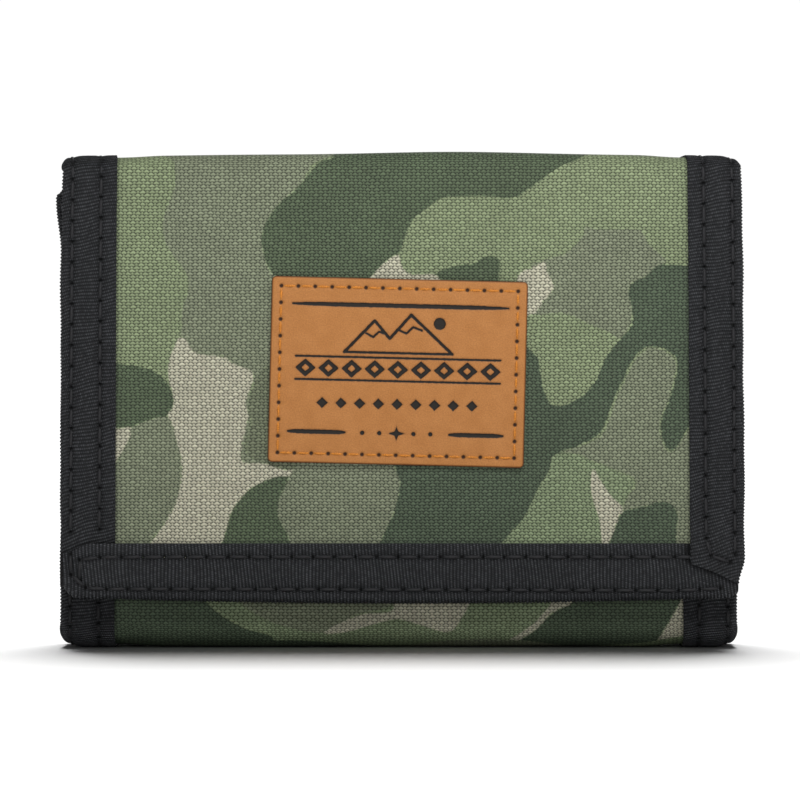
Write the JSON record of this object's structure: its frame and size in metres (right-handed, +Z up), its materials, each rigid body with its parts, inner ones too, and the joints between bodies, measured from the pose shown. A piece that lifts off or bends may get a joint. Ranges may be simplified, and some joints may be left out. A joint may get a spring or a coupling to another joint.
{
  "type": "trifold wallet",
  "caption": "Fabric trifold wallet with a hook-and-loop flap, bound edges, a stitched leather patch, card slots, a note pocket and a zipped coin pocket.",
  "frame": {"origin": "middle of the base, under the closed wallet as it stands on its bottom fold", "axes": "+X across the fold lines, to the right when the flap is faced; -Y out of the flap's face; +Z up, from the bottom fold to the top fold"},
  "size_m": [0.124, 0.02, 0.0905],
  "materials": {
    "camo_cloth": "woven camouflage polyester",
    "lining_cloth": "plain black nylon lining",
    "binding_tape": "ribbed black grosgrain",
    "stiffener_board": "matt board",
    "pocket_cloth": "dark woven nylon",
    "hook_fastener": "nylon hooks",
    "loop_fastener": "brushed nylon loops",
    "clear_film": "clear film",
    "patch_leather": "tan full-grain leather",
    "patch_thread": "golden polyester thread",
    "zip_tape": "woven zip tape",
    "zip_coil": "nylon coil",
    "zip_metal": "gunmetal plating"
  },
  "bodies": {
    "bottom_fold": {"bottom_fold_shell": "camo_cloth", "bottom_fold_liner": "lining_cloth", "bottom_fold_tape_left": "binding_tape", "bottom_fold_tape_right": "binding_tape"},
    "back_panel": {"back_shell": "camo_cloth", "back_board": "stiffener_board", "back_liner": "lining_cloth", "back_tape_left": "binding_tape", "back_tape_right": "binding_tape", "bill_divider": "lining_cloth", "bill_edge_tape": "binding_tape", "card_slot_upper": "pocket_cloth", "card_slot_middle": "pocket_cloth", "card_slot_lower": "pocket_cloth", "card_hem_upper": "binding_tape", "card_hem_middle": "binding_tape", "card_hem_lower": "binding_tape"},
    "top_fold": {"top_fold_shell": "camo_cloth", "top_fold_liner": "lining_cloth", "top_fold_tape_left": "binding_tape", "top_fold_tape_right": "binding_tape"},
    "flap": {"flap_shell": "camo_cloth", "flap_board": "stiffener_board", "flap_liner": "lining_cloth", "flap_tape_left": "binding_tape", "flap_tape_right": "binding_tape", "flap_tape_bottom": "binding_tape", "hook_patch": "hook_fastener", "id_window": "clear_film", "id_window_trim": "binding_tape", "leather_patch": "patch_leather", "patch_thread": "patch_thread"},
    "front_panel": {"front_shell": "camo_cloth", "front_board": "stiffener_board", "front_liner": "lining_cloth", "front_tape_left": "binding_tape", "front_tape_right": "binding_tape", "front_tape_top": "binding_tape", "loop_patch": "loop_fastener", "coin_pocket_panel": "pocket_cloth", "coin_pocket_upper": "pocket_cloth", "coin_pocket_gusset": "pocket_cloth", "zip_tape_lower": "zip_tape", "zip_tape_upper": "zip_tape", "zip_coil_lower": "zip_coil", "zip_coil_upper": "zip_coil", "zip_stops": "zip_metal"},
    "zip_slider": {"zip_slider": "zip_metal", "zip_pull": "zip_metal"}
  },
  "joints": [
    {"name": "flap_fold", "type": "hinge", "parent": "top_fold", "child": "flap", "pos_m": [0, -0.0089, 0.0905], "axis": [-1, 0, 0], "range_deg": [0, 90]},
    {"name": "top_fold_hinge", "type": "hinge", "parent": "back_panel", "child": "top_fold", "pos_m": [0, 0.01, 0.0905], "axis": [-1, 0, 0], "range_deg": [0, 90]},
    {"name": "back_fold", "type": "hinge", "parent": "bottom_fold", "child": "back_panel", "pos_m": [0, 0.01, 0], "axis": [-1, 0, 0], "range_deg": [0, 90]},
    {"name": "front_fold", "type": "hinge", "parent": "bottom_fold", "child": "front_panel", "pos_m": [0, -0.0041, 0], "axis": [1, 0, 0], "range_deg": [0, 90], "deforming": ["front_shell", "front_liner", "front_tape_left", "front_tape_right", "front_tape_top"]},
    {"name": "zip_slide", "type": "slide", "parent": "front_panel", "child": "zip_slider", "axis": [-1, 0, 0], "range_m": [0, 0.076]}
  ],
  "couplings": [
    {"joint": "top_fold_hinge", "follows": "flap_fold", "ratio": 1},
    {"joint": "back_fold", "follows": "flap_fold", "ratio": 1},
    {"joint": "front_fold", "follows": "flap_fold", "ratio": 1}
  ]
}
